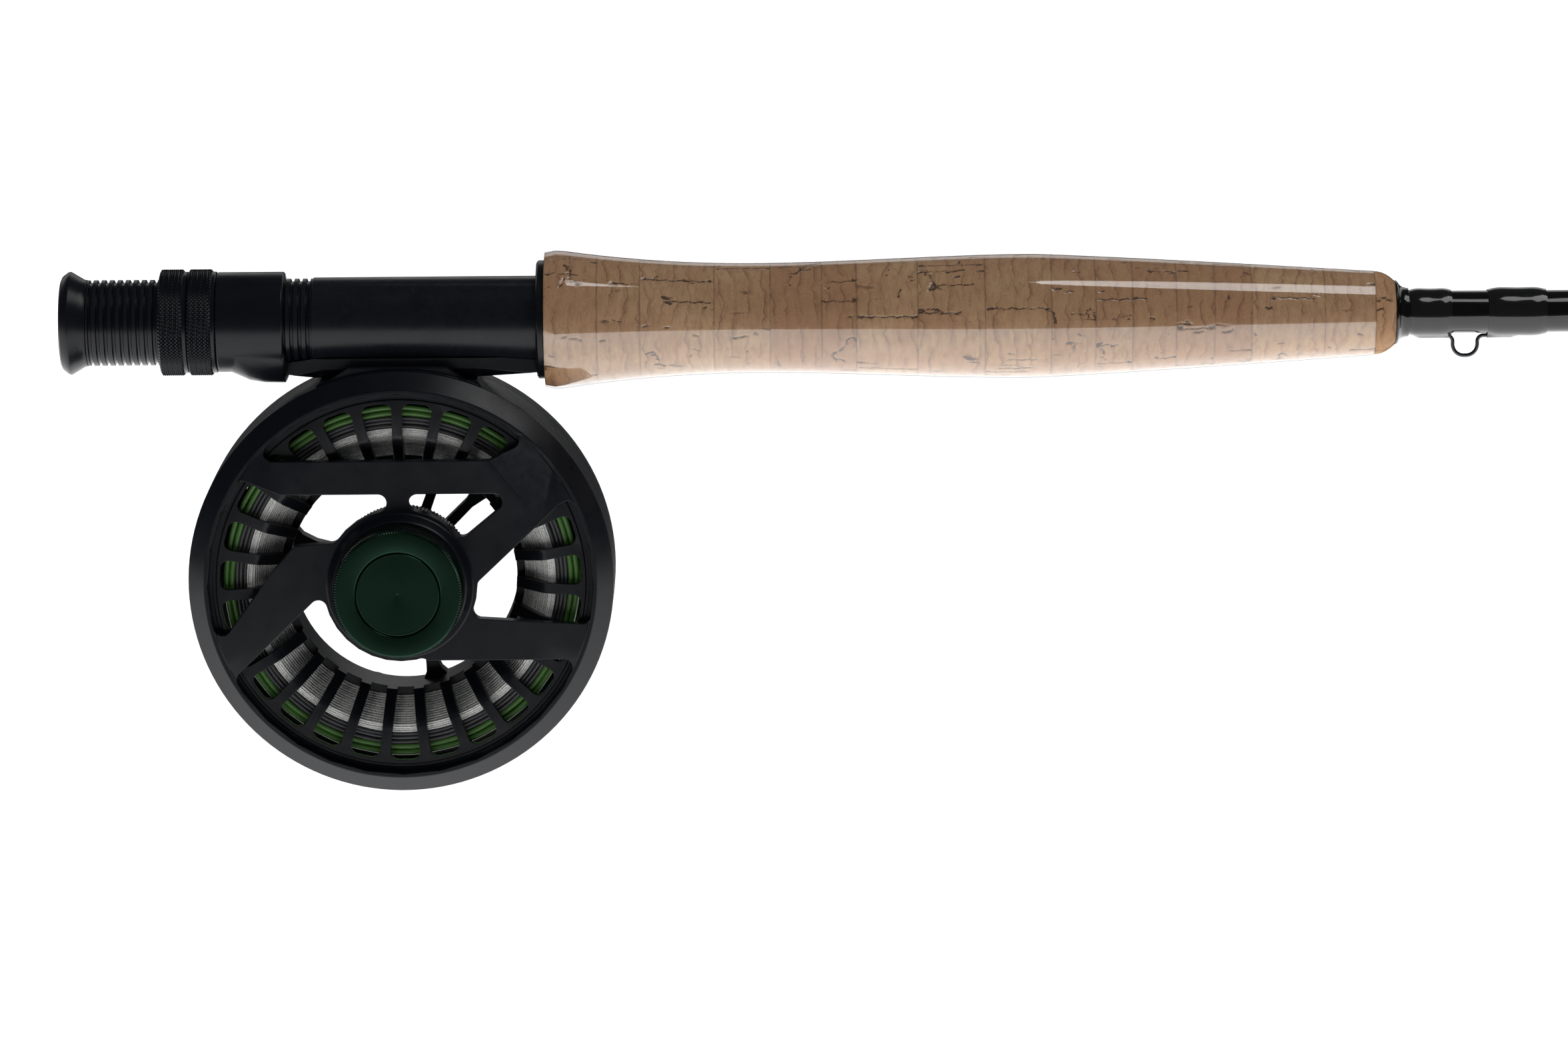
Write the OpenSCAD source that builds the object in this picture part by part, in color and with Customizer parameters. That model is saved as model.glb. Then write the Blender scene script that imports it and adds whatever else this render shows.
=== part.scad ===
// Fly rod butt section made up with its reel, ready to take the next rod section.
// Millimetres. The rod's axis is X, from the butt cap's end face at X = 0 towards the tip.
// The reel hangs below at -Z. Its drag knob faces -Y and its winding handle faces +Y.

/* [Rod] */
// Length of the butt section, butt face to ferrule tip
section_len = 650; // [560:5:740]
// Radius of the blank at the thread wraps
blank_r = 4.25; // [4:0.05:4.4]
// Wall of the hollow blank
blank_wall = 1.0; // [0.7:0.1:1.3]
// Radius of the male ferrule that the next section slides over
ferrule_r = 3.6; // [3.2:0.05:3.8]
// Length of the male ferrule
ferrule_len = 50; // [40:1:60]

/* [Reel seat] */
// Outer radius of the smooth seat barrel
seat_r = 8.75; // [8.6:0.05:8.8]
// Outer radius of the seat thread's crests
thread_r = 8.55; // [8.4:0.05:8.6]
// Pitch of the seat thread
thread_pitch = 1.6; // [1.4:0.05:1.8]
// Outer radius of the two lock rings
nut_r = 10.6; // [10:0.1:11]
// Width of one lock ring
nut_w = 5.6; // [5:0.05:5.8]
// Outer radius of the sliding hood
hood_r = 9.95; // [9.8:0.05:10.2]
// X of the sliding hood's open mouth when it clamps the foot
hood_mouth_x = 44.5; // [44.2:0.1:44.8]
// X where the smooth barrel meets the fixed hood
seat_end_x = 94.5; // [94:0.1:95]

/* [Cork grip] */
// X of the grip's front end
grip_end_x = 265.2; // [262:0.1:268]
// Radius of the grip at its flared rear lip
grip_rear_r = 13.7; // [13:0.1:14]
// Radius of the grip at its narrow waist
grip_waist_r = 10.85; // [10.5:0.05:11.2]
// Radius of the grip at its palm swell
grip_swell_r = 12.25; // [11.8:0.05:12.6]
// Radius of the grip near its front end
grip_front_r = 8.3; // [8:0.1:8.8]
// Thickness of the clear film over the cork
film_t = 0.12; // [0.1:0.01:0.2]

/* [Reel frame] */
// X of the reel's spindle
reel_x = 67.2; // [66:0.1:68]
// Drop of the reel's spindle below the rod's axis
reel_drop = 50.9; // [50.6:0.1:51.4]
// Outer radius of the frame and of the spool's palming rim
rim_r = 42.3; // [42.2:0.05:42.5]
// Width of the frame ring's front chamfer
ring_chamfer = 3.3; // [2.5:0.1:3.6]
// Height of the face plate's outer surface, towards the drag side
plate_top = 14.2; // [14:0.1:14.6]
// Thickness of the face plate
plate_t = 2.2; // [1.8:0.1:2.3]
// Radius of the face plate's hub
hub_r = 15.3; // [15:0.1:15.6]

/* [Drag] */
// Radius of the drag knob
knob_r = 12.85; // [12:0.05:13.2]
// Height of the drag knob's face
knob_top = 25.6; // [24.6:0.1:26]
// Outer radius of the drag housing
housing_r = 14.0; // [13.8:0.1:14.2]
// Number of rotating drag discs
disc_n = 3; // [2:1:3]
// Thickness of each drag disc and washer
disc_t = 0.8; // [0.7:0.05:0.8]

/* [Spool] */
// Number of ribs in each spool flange
rib_n = 27; // [24:3:27]
// Width of a spool rib
rib_w = 2.1; // [1.9:0.1:2.4]
// Angle of the first rib
rib_phase = 10.5; // [0:0.5:13]
// Inner radius of the spool's arbor
arbor_r = 22.8; // [22.6:0.1:23]
// Radius over the backing
backing_r = 30.8; // [30:0.1:31]
// Radius over the grey running line
running_r = 33.1; // [33:0.1:33.4]
// Radius over the fly line
line_r = 35.4; // [35:0.1:35.6]

/* [Hidden] */
$fn = 96;

gap = 0.05;
fit = 0.06;

// rod stations along X
thread_start_x = 4;
thread_end_x = 50.2;
nut_rear_x = 19.7;
nut_front_x = nut_rear_x + nut_w + gap;
hood_x = nut_front_x + nut_w + gap;
flange_w = 1.7;
grip_x = seat_end_x + flange_w;
blank_start_x = 8;
seat_bore_r = 7.2;
blank_butt_r = 4.8;
ferrule_x = section_len - ferrule_len;
film_end_x = grip_end_x - 4.2;
wrap1_x = grip_end_x + 2.9;
wrap1_len = 8.4;
wrap2_x = grip_end_x + 18.5;
wrap2_len = 11.7;
waist_x = 138;
swell_x = 193;

// the cork rings' joints, rear to front
ring_joints = [grip_x, 106.7, 115.2, 129.9, 141, 151.2, 158.1, 170.2, 183.5, 196.6, 205.4, 212.7, 221.4,
    229, 236.4, 250.9, film_end_x, grip_end_x];

// hook keeper: wire radius, depth of its feet and of its loop below the rod's axis, legs, bend radii
keeper_wire = 0.38;
keeper_line = blank_r + gap + keeper_wire + 0.02;
keeper_depth = 8.7;
keeper_x = grip_end_x + 14.15;
keeper_half = 2.45;
keeper_bend = 1.2;
keeper_loop_r = 2.2;

// reel heights, measured from the rod's centre plane towards the drag side
plate_low = plate_top - plate_t;
hub_rise = 0.8;
ring_low = 7.5;
wall_in_r = rim_r - 1.9;
cage_low = -3.8;
cage_gap = -1.2;
rim_low = -12;
window_r = rim_r - ring_chamfer - 0.8;
flange_top = plate_low - 0.4;
slot_out_r = 36;
arbor_out_r = arbor_r + 1.5;
slot_floor = 2.7;
rear_flange_top = -7;
seat_flat = reel_drop - 10.75;
boss_top = plate_top + 3.1;
shaft_r = 3;
stem_r = 1.5;
stack_low = 2.6;
stack_step = disc_t + 0.1;
handle_at_r = 31;
handle_angle = 255;

// ---------- helpers ----------

// a solid turned about the rod's axis from [radius, x] points
module lathe_x(points) {
    rotate([0, 90, 0]) rotate_extrude() polygon(points);
}

// a straight round bar on the rod's axis
module rod_x(x, length, r1, r2) {
    translate([x, 0, 0]) rotate([0, 90, 0]) cylinder(h = length, r1 = r1, r2 = r2);
}

// reel space: x along the rod, y up, z towards the drag side, origin on the spindle
module at_reel() {
    translate([reel_x, 0, -reel_drop]) rotate([90, 0, 0]) children();
}

// a ring between two heights of reel space
module ring(r_in, r_out, low, top) {
    translate([0, 0, low]) difference() {
        cylinder(h = top - low, r = r_out);
        translate([0, 0, -1]) cylinder(h = top - low + 2, r = r_in);
    }
}

// a disc between two heights of reel space
module disc(r, low, top) {
    translate([0, 0, low]) cylinder(h = top - low, r = r);
}

module at_polar(r, angle) {
    rotate(angle) translate([r, 0, 0]) children();
}

// points on an arc about the origin
function arc(r, a0, a1, n) = [for (i = [0:n]) let (a = a0 + (a1 - a0) * i / n) [r * cos(a), r * sin(a)]];

// points on a rounded corner about a centre
function corner(c, r, a0, a1, n) = [for (p = arc(r, a0, a1, n)) c + p];

// radius of the blank's outside at a station
function blank_at(x) =
    x < wrap1_x ? blank_butt_r + (blank_r - blank_butt_r) * (x - blank_start_x) / (wrap1_x - blank_start_x)
    : blank_r + (ferrule_r + 0.04 - blank_r) * (x - wrap1_x) / (ferrule_x - wrap1_x);

// smooth step from 0 to 1
function ease(t) = let (u = min(1, max(0, t))) u * u * (3 - 2 * u);

// radius of the cork grip at a station: rear lip, waist, palm swell, front
function grip_at(x) =
    x < grip_x + 3 ? grip_rear_r - 0.5 * pow((grip_x + 3 - x) / 3, 2)
    : x < waist_x ? grip_waist_r
        + (grip_rear_r - grip_waist_r) * pow((waist_x - x) / (waist_x - grip_x - 3), 2)
    : x < swell_x ? grip_waist_r + (grip_swell_r - grip_waist_r) * ease((x - waist_x) / (swell_x - waist_x))
    : x < film_end_x ? grip_swell_r
        - (grip_swell_r - grip_front_r) * pow((x - swell_x) / (film_end_x - swell_x), 1.15)
    : grip_front_r - 1.9 * pow((x - film_end_x) / (grip_end_x - film_end_x), 2.2);

// ---------- rod ----------

module butt_cap() {
    color([0.10, 0.10, 0.11]) difference() {
        lathe_x([[0, 0], [8.6, 0], [9.3, 0.3], [10.15, 1.4], [10.3, 1.9], [8.7, 4.6],
            [8.6, thread_start_x + 1.2], [seat_bore_r - gap, thread_start_x + 1.2], [seat_bore_r - gap, 16],
            [0, 16]]);
        rod_x(blank_start_x - gap, 20, blank_butt_r + gap, blank_butt_r + gap);
    }
}

module seat_barrel() {
    thread_depth = 0.55;
    start = thread_start_x + 1.3;
    turns = floor((thread_end_x - start) / thread_pitch);
    color([0.09, 0.09, 0.10]) difference() {
        union() {
            rod_x(start, thread_end_x - start, thread_r, thread_r);
            rod_x(thread_end_x, seat_end_x - thread_end_x, seat_r, seat_r);
        }
        rod_x(start - 1, seat_end_x, seat_bore_r, seat_bore_r);
        for (i = [0:turns - 1])
            lathe_x([[thread_r + 1, start + (i + 0.2) * thread_pitch - 0.2],
                [thread_r - thread_depth, start + (i + 0.35) * thread_pitch],
                [thread_r - thread_depth, start + (i + 0.65) * thread_pitch],
                [thread_r + 1, start + (i + 0.8) * thread_pitch + 0.2]]);
    }
}

// bushes that centre the slim blank in the wide barrel
module seat_arbors() {
    arbor_len = 14;
    color([0.75, 0.70, 0.55]) for (x = [20, 48, 76])
        difference() {
            rod_x(x, arbor_len, seat_bore_r - gap, seat_bore_r - gap);
            rod_x(x - 1, arbor_len + 2, blank_at(x - 1) + gap, blank_at(x + arbor_len + 1) + gap);
        }
}

module blank() {
    color([0.04, 0.04, 0.05]) difference() {
        union() {
            rod_x(blank_start_x, wrap1_x - blank_start_x, blank_butt_r, blank_r);
            rod_x(wrap1_x, ferrule_x - wrap1_x, blank_r, ferrule_r + 0.04);
            rod_x(ferrule_x, ferrule_len, ferrule_r, ferrule_r);
        }
        rod_x(blank_start_x - 1, section_len, blank_butt_r - blank_wall, ferrule_r - blank_wall);
    }
}

module fixed_hood() {
    sleeve_len = 10;
    pocket_depth = 6;
    color([0.08, 0.08, 0.09]) difference() {
        lathe_x([[6, seat_end_x + gap], [11.3, seat_end_x + gap], [11.8, seat_end_x + 0.45],
            [11.8, grip_x - 0.1], [11.2, grip_x - gap], [11.2, grip_x + sleeve_len],
            [6, grip_x + sleeve_len]]);
        rod_x(seat_end_x - 1, 30, blank_at(seat_end_x) + gap, blank_at(seat_end_x) + gap);
        translate([seat_end_x - 1, -5, -10.6]) cube([pocket_depth + 1, 10, 3.5]);
    }
}

// the grip's outline over one cork ring, stood off by a margin
function ring_outline(k, margin) =
    let (slices = 5, x0 = ring_joints[k], x1 = ring_joints[k + 1])
    [for (i = [0:slices]) let (x = x0 + (x1 - x0) * i / slices) [grip_at(x) + margin, x]];

module cork_rings() {
    color([0.66, 0.50, 0.36]) difference() {
        union() for (k = [0:len(ring_joints) - 2]) {
            x0 = ring_joints[k];
            x1 = ring_joints[k + 1];
            lathe_x(concat([[blank_at(x0) + gap, x0]], ring_outline(k, 0), [[blank_at(x1) + gap, x1]]));
        }
        rod_x(grip_x - 1, 11.1, 11.2 + gap, 11.2 + gap);
    }
}

// clear film over every ring but the front one, which tapers into the winding check
module grip_film() {
    color([0.95, 0.93, 0.9, 0.35]) union() for (k = [0:len(ring_joints) - 3]) {
        inside = ring_outline(k, 0.02);
        outside = ring_outline(k, 0.02 + film_t);
        lathe_x(concat(outside, [for (i = [len(inside) - 1:-1:0]) inside[i]]));
    }
}

// trumpet-shaped rubber ring that closes the grip's front
module winding_check() {
    color([0.05, 0.05, 0.05]) difference() {
        lathe_x([[3, grip_end_x + gap], [6.35, grip_end_x + gap], [6.45, grip_end_x + 0.35],
            [6.2, grip_end_x + 0.6], [5.5, grip_end_x + 1.05], [5.05, grip_end_x + 1.7],
            [4.85, grip_end_x + 2.8], [3, grip_end_x + 2.8]]);
        rod_x(grip_end_x - 1, 6, blank_at(grip_end_x) + gap, blank_at(grip_end_x) + gap);
    }
}

// a thread wrap under its barrel of varnish, with room for a keeper foot below it
module wrap(x, length, swell) {
    end_r = blank_r + 0.15;
    difference() {
        lathe_x([[4, x], [end_r, x], [end_r + 0.6 * swell, x + 0.09 * length],
            [end_r + 0.92 * swell, x + 0.22 * length], [end_r + swell, x + 0.4 * length],
            [end_r + swell, x + 0.6 * length], [end_r + 0.92 * swell, x + 0.78 * length],
            [end_r + 0.6 * swell, x + 0.91 * length], [end_r, x + length], [4, x + length]]);
        rod_x(x - 1, length + 2, blank_at(x - 1) + gap, blank_at(x + length + 1) + gap);
        translate([x - 1, 0, -keeper_line]) rotate([0, 90, 0]) cylinder(h = length + 2, r = keeper_wire + gap);
    }
}

module butt_wrap() {
    color([0.03, 0.03, 0.04]) wrap(wrap1_x, wrap1_len, 0.45);
}

module keeper_wrap() {
    color([0.03, 0.03, 0.04]) wrap(wrap2_x, wrap2_len, 0.55);
}

// one bend of the keeper's wire in the XZ plane, of radius r from angle a0 to a1 about [x, z]
module wire_bend(x, z, r, a0, a1) {
    translate([x, 0, z]) rotate([90, 0, 0]) rotate(a0) rotate_extrude(angle = a1 - a0)
        translate([r, 0]) circle(r = keeper_wire, $fn = 24);
}

module wire_bar(x, z, length, vertical) {
    translate([x, 0, z]) rotate([0, vertical ? 180 : 90, 0]) cylinder(h = length, r = keeper_wire, $fn = 24);
}

module hook_keeper() {
    leg1_x = keeper_x - keeper_half;
    leg2_x = keeper_x + keeper_half;
    foot_len = 5.4;
    drop = keeper_depth - keeper_line - keeper_bend - keeper_loop_r;
    color([0.10, 0.10, 0.11]) {
        wire_bar(leg1_x - keeper_bend - foot_len, -keeper_line, foot_len, false);
        wire_bend(leg1_x - keeper_bend, -keeper_line - keeper_bend, keeper_bend, 0, 90);
        wire_bar(leg1_x, -keeper_line - keeper_bend, drop, true);
        wire_bend(leg1_x + keeper_loop_r, -keeper_depth + keeper_loop_r, keeper_loop_r, 180, 270);
        wire_bar(leg1_x + keeper_loop_r, -keeper_depth, leg2_x - leg1_x - 2 * keeper_loop_r, false);
        wire_bend(leg2_x - keeper_loop_r, -keeper_depth + keeper_loop_r, keeper_loop_r, 270, 360);
        wire_bar(leg2_x, -keeper_line - keeper_bend, drop, true);
        wire_bend(leg2_x + keeper_bend, -keeper_line - keeper_bend, keeper_bend, 90, 180);
        wire_bar(leg2_x + keeper_bend, -keeper_line, foot_len, false);
    }
}

// ---------- reel frame ----------

// arms of the face plate, without ring and hub
module plate_arms() {
    // top band, running on into the slanting arm to the hub's right
    polygon([[-37, 24.9], [17.9, 24.9], [25.5, 28.6], [29, 31], [38, 19], [34.1, 17.3], [31.8, 16],
        [15.7, 0.8], [8, 0], [8, 7], [13.2, 9.8], [20.5, 15.8], [20.5, 18.3], [-23.4, 18.3], [-31.5, 21.4],
        [-37, 22.6]]);
    // short strut from hub to band
    translate([-2.45, 8]) square([4.4, 11]);
    // left arm
    polygon([[-9, 9], [-13.5, 8.6], [-20.8, 8], [-25.3, 2.9], [-34.9, -10.3], [-38, -13], [-36, -20],
        [-33.3, -18.6], [-16.9, -2.8], [-9, -3]]);
    // right arm
    polygon([[3, -6], [38.3, -8.3], [37, -15.2], [5.2, -15.2], [0, -10]]);
}

module plate_outline() {
    fillet = 1.7;
    offset(r = -fillet, $fn = 32) offset(delta = fillet) {
        difference() {
            circle(r = rim_r - ring_chamfer);
            circle(r = window_r + 0.1);
        }
        circle(r = hub_r);
        intersection() {
            plate_arms();
            circle(r = rim_r - ring_chamfer - 0.3);
        }
    }
}

// one opening in the cage wall, where the line leaves
module line_outlet(a0, a1) {
    translate([0, 0, cage_gap]) rotate(a0) rotate_extrude(angle = a1 - a0)
        translate([wall_in_r - 1, 0]) square([4, ring_low - cage_gap]);
}

module reel_frame() {
    crease_r = 28.8;
    crease_side = 8;
    crease_fall = 5;
    bridge_half = 15.5;
    pillar_half = 3.2;
    color([0.08, 0.08, 0.09]) at_reel() difference() {
        union() {
            // flat plate, then its plateau that falls away in eight shallow facets
            translate([0, 0, plate_low]) linear_extrude(plate_t) plate_outline();
            difference() {
                translate([0, 0, plate_low]) linear_extrude(plate_t + hub_rise) plate_outline();
                for (i = [0:crease_side - 1])
                    rotate(i * 360 / crease_side) translate([crease_r, -40, plate_top + hub_rise])
                        rotate([0, crease_fall, 0]) cube([30, 80, 5]);
                ring(rim_r - ring_chamfer - 0.9, 50, plate_top, 20);
            }
            // outer ring with its broad chamfer, and the cage wall behind it
            difference() {
                rotate_extrude() polygon([[window_r, plate_low], [window_r, plate_top - 0.25],
                    [window_r + 0.25, plate_top], [rim_r - ring_chamfer, plate_top],
                    [rim_r, plate_top - ring_chamfer], [rim_r, cage_low], [wall_in_r, cage_low],
                    [wall_in_r, plate_low]]);
                line_outlet(185, 225 - pillar_half);
                line_outlet(225 + pillar_half, 315 - pillar_half);
                line_outlet(315 + pillar_half, 355);
            }
            // bridge under the foot, inside the wall
            translate([0, 0, cage_low]) linear_extrude(9.4 - cage_low)
                polygon([[-bridge_half, 37.3], [bridge_half, 37.3], [bridge_half + 1.5, 38.4],
                    [bridge_half, seat_flat], [-bridge_half, seat_flat], [-bridge_half - 1.5, 38.4]]);
            // shoulder between ring and foot
            translate([0, 0, 6.6]) linear_extrude(3)
                polygon([[-15.5, 38], [15, 38], [13.4, 40.2], [9.5, 42.7], [-10, 42.7], [-14, 40.2]]);
            // boss under the drag knob
            rotate_extrude() polygon([[0, plate_low], [hub_r - 0.7, plate_low],
                [hub_r - 0.7, plate_top + hub_rise], [14.2, plate_top + 1.2], [13.5, boss_top - 0.4],
                [13.1, boss_top], [0, boss_top]]);
        }
        // room for the foot between shoulder and rear ring
        translate([-18.5, seat_flat, -7]) cube([37, 6, 13.5]);
        // bores: adjusting stem, detent well, foot and spindle screws
        disc(stem_r + fit, 5, 30);
        translate([8, 0, 13.4]) cylinder(h = 5, r = 0.9);
        for (x = [-8, 8]) {
            translate([x, 45, 0]) rotate([90, 0, 0]) cylinder(h = 10, r = 1.25);
            translate([x, 38.8, 0]) rotate([90, 0, 0]) cylinder(h = 3, r = 2.3);
        }
        for (a = [30, 150, 270])
            at_polar(6, a) disc(0.8, 11, 14.5);
    }
}

module reel_foot() {
    half_w = 6.3;
    back_half_w = 3.8;
    tip_half_w = 3.4;
    mouth_half_w = 4.6;
    rear_x = 36.8;
    front_x = 99.2;
    color([0.07, 0.07, 0.08]) difference() {
        intersection() {
            // side view
            translate([0, half_w + 1, 0]) rotate([90, 0, 0]) linear_extrude(2 * half_w + 2)
                polygon([[rear_x, -6.6], [front_x, -6.6], [front_x, -9.7], [94.5, -9.9], [84.5, -10.6],
                    [reel_x + 12, -10.7], [reel_x - 12, -10.7], [50.5, -10.7], [45.5, -10.1], [rear_x, -9.8]]);
            // plan view with tapered tips
            translate([0, 0, -12]) linear_extrude(8)
                polygon([[rear_x, -tip_half_w + 1], [rear_x + 1, -tip_half_w], [45.2, -mouth_half_w],
                    [52, -half_w], [84, -half_w], [front_x - 1, -mouth_half_w], [front_x, -mouth_half_w + 1],
                    [front_x, mouth_half_w - 1], [front_x - 1, mouth_half_w], [86, back_half_w],
                    [50, back_half_w], [rear_x + 1, tip_half_w], [rear_x, tip_half_w - 1]]);
            // chamfered lower edges
            rotate([90, 0, 90]) linear_extrude(200)
                polygon([[-half_w, -4], [-half_w, -8.9], [-half_w + 1.9, -10.8], [half_w - 1.9, -10.8],
                    [half_w, -8.9], [half_w, -4]]);
        }
        rod_x(0, 120, seat_r + gap, seat_r + gap);
        for (x = [-8, 8])
            translate([reel_x + x, 0, -14]) cylinder(h = 6, r = 1.25);
    }
}

// two countersunk screws up through the bridge into the foot
module foot_screws() {
    color([0.35, 0.35, 0.37]) for (x = [-8, 8])
        translate([reel_x + x, 0, -reel_drop]) difference() {
            union() {
                translate([0, 0, 38.5]) cylinder(h = 3.55, r = 1.2);
                translate([0, 0, 37.4]) cylinder(h = 1.35, r = 2.2);
            }
            translate([0, 0, 37]) cylinder(h = 1.1, r = 0.9, $fn = 6);
        }
}

module spindle() {
    color([0.70, 0.71, 0.73]) at_reel() difference() {
        union() {
            disc(shaft_r, -11.1, plate_low);
            disc(8, plate_low - 0.9, plate_low);
        }
        disc(stem_r + fit, -12, plate_top);
        for (a = [30, 150, 270])
            at_polar(6, a) disc(0.8, 11, 14.5);
    }
}

module spindle_screws() {
    color([0.35, 0.35, 0.37]) at_reel() for (a = [30, 150, 270])
        at_polar(6, a) disc(0.75, plate_low - 0.9, 14.3);
}

module drag_housing() {
    teeth = 120;
    color([0.13, 0.13, 0.14]) at_reel() difference() {
        union() {
            disc(housing_r - 0.3, 1, plate_low);
            disc(housing_r + 0.25, 6.2, 7.4);
            translate([0, 0, 1]) linear_extrude(3.6)
                polygon([for (i = [0:2 * teeth - 1]) let (r = housing_r + (i % 2 == 0 ? 0.1 : -0.15))
                    [r * cos(180 * i / teeth), r * sin(180 * i / teeth)]]);
        }
        disc(12.6, 0, plate_low + 1);
        at_polar(13.1, 100) disc(0.5, 0, 4);
    }
}

module housing_cover() {
    color([0.16, 0.16, 0.17]) at_reel() ring(6.3, 12.55, 1, 2.4);
}

module housing_seal() {
    color([0.05, 0.05, 0.05]) at_reel() ring(5.3, 6.25, 1.1, 2.3);
}

module friction_washers() {
    color([0.20, 0.20, 0.22]) at_reel() for (i = [0:disc_n]) {
        low = stack_low + 2 * i * stack_step;
        ring(5.5, 12.4, low, low + disc_t);
    }
}

module drag_discs() {
    color([0.72, 0.73, 0.75]) at_reel() for (i = [0:disc_n - 1]) {
        low = stack_low + (2 * i + 1) * stack_step;
        ring(5.25, 12.2, low, low + disc_t);
    }
}

module pressure_plate() {
    low = stack_low + (2 * disc_n + 1) * stack_step;
    color([0.62, 0.63, 0.65]) at_reel() ring(5.5, 12.3, low, low + 0.7);
}

// two dished spring washers, one turned over
module spring_washers() {
    low = stack_low + (2 * disc_n + 1) * stack_step + 0.75;
    t = 0.35;
    rise = 0.4;
    color([0.55, 0.56, 0.6]) at_reel() {
        rotate_extrude() polygon([[8.4, low], [12, low + rise], [12, low + rise + t], [8.4, low + t]]);
        rotate_extrude() polygon([[8.4, low + 1.6], [12, low + 1.6 - rise], [12, low + 1.6 - rise + t],
            [8.4, low + 1.6 + t]]);
    }
}

module detent_ball() {
    color([0.8, 0.8, 0.82]) at_reel() translate([8, 0, 16.6]) sphere(r = 0.85);
}

module detent_spring() {
    color([0.7, 0.7, 0.72]) at_reel() translate([8, 0, 0]) ring(0.45, 0.8, 13.45, 15.6);
}

module pawl_pin() {
    color([0.7, 0.7, 0.72]) at_reel() at_polar(13.1, 100) disc(0.45, -1, 3.9);
}

module click_pawl() {
    color([0.75, 0.62, 0.3]) at_reel() translate([0, 0, -0.7]) linear_extrude(1.4)
        difference() {
            polygon([[-0.5, 10.05], [0.5, 10.05], [1.2, 12], [0.6, 13.9], [-3.2, 14.3], [-3.6, 12.4],
                [-1.4, 11.6]]);
            rotate(100) translate([13.1, 0]) circle(r = 0.5);
        }
}

module click_spring() {
    color([0.7, 0.7, 0.72]) at_reel() translate([0, 0, -0.5]) rotate(108) rotate_extrude(angle = 42)
        translate([13.3, 0]) square([0.3, 1.5]);
}

// ---------- sliding hood and lock rings ----------

// stations of the hood's lobe: x, depth of its underside, radius
lobe_stations = [[33.4, 9.8, 9.8], [35, 10.5, 9.3], [37.4, 11.6, 8.5], [40.4, 12.1, 8.1],
    [44.3, 12.15, 8.1], [44.75, 11.2, 7.4]];

module lobe_disc(station) {
    translate([station[0], 0, station[2] - station[1]]) rotate([0, 90, 0])
        cylinder(h = 0.1, r = station[2], $fn = 32);
}

module sliding_hood() {
    color([0.08, 0.08, 0.09]) difference() {
        union() {
            lathe_x([[8, hood_x], [hood_r - 0.25, hood_x], [hood_r, hood_x + 0.3],
                [hood_r, hood_mouth_x - 0.3], [hood_r - 0.3, hood_mouth_x], [8, hood_mouth_x]]);
            // lobe that reaches over the foot's tip
            for (i = [0:len(lobe_stations) - 2])
                hull() {
                    lobe_disc(lobe_stations[i]);
                    lobe_disc(lobe_stations[i + 1]);
                }
        }
        rod_x(hood_x - 1, 30, 9.2, 9.2);
        // pocket for the foot's tapered tip
        translate([0, 0, -10.25]) linear_extrude(6)
            polygon([[36.3, -3.35], [50, -5.6], [50, 5.6], [36.3, 3.35]]);
    }
}

// plastic sleeve inside the hood, split below for the foot
module hood_liner() {
    color([0.2, 0.2, 0.2]) difference() {
        rod_x(hood_x + 0.2, hood_mouth_x - hood_x - 0.6, 9.15, 9.15);
        rod_x(hood_x - 1, 30, thread_r + 0.08, thread_r + 0.08);
        translate([34.8, -5.6, -10.9]) cube([20, 11.2, 10]);
    }
}

// knurled ring with a smooth collar on its front side
module lock_nut(x) {
    collar_x = x + nut_w - 0.75;
    collar_r = 10.1;
    difference() {
        lathe_x([[8, x], [nut_r - 0.9, x], [nut_r - 0.35, x + 0.15], [nut_r, x + 0.5],
            [nut_r, collar_x - 0.35], [nut_r - 0.35, collar_x], [collar_r, collar_x],
            [collar_r, x + nut_w - 0.1], [collar_r - 0.1, x + nut_w], [8, x + nut_w]]);
        rod_x(x - 1, nut_w + 2, thread_r + 0.08, thread_r + 0.08);
    }
}

module lock_nut_front() {
    color([0.10, 0.10, 0.11]) lock_nut(nut_front_x);
}

module lock_nut_rear() {
    color([0.10, 0.10, 0.11]) lock_nut(nut_rear_x);
}

// ---------- drag knob ----------

module drag_knob() {
    skirt_low = boss_top + 0.35;
    color([0.07, 0.22, 0.14]) at_reel() difference() {
        rotate_extrude() polygon([[0, skirt_low], [knob_r - 0.3, skirt_low], [knob_r, skirt_low + 0.3],
            [knob_r, knob_top - 0.6], [knob_r - 0.6, knob_top], [0, knob_top]]);
        disc(8.45, knob_top - 0.9, knob_top + 1);
        ring(4.2, 11.4, skirt_low - 1, knob_top - 2.4);
        disc(stem_r + 0.01, 0, knob_top - 1.8);
    }
}

module knob_cap() {
    color([0.05, 0.16, 0.10]) at_reel() rotate_extrude()
        polygon([[0, knob_top - 0.85], [8.3, knob_top - 0.85], [8.3, knob_top - 0.15], [8.1, knob_top + 0.05],
            [0, knob_top + 0.05]]);
}

module knob_stem() {
    color([0.72, 0.73, 0.75]) at_reel() disc(stem_r, -9, knob_top - 1.85);
}

// ---------- spool ----------

// opening between two ribs, from the arbor to the flange's rim
module rib_slot(r_in, r_out, round_out) {
    half = 180 / rib_n;
    side = rib_w / 2;
    // the slot's two sides run parallel to the ribs' centre lines
    a_in = half - asin(side / r_in);
    a_out = half - asin(side / r_out);
    c_r = r_out - round_out;
    c_a = half - asin((side + round_out) / c_r);
    c = [c_r * cos(c_a), c_r * sin(c_a)];
    upper = concat([[r_in * cos(a_in), r_in * sin(a_in)]],
        corner(c, round_out, half + 90, c_a, 5));
    polygon(concat([for (p = upper) [p[0], -p[1]]], [for (i = [len(upper) - 1:-1:0]) upper[i]]));
}

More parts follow.
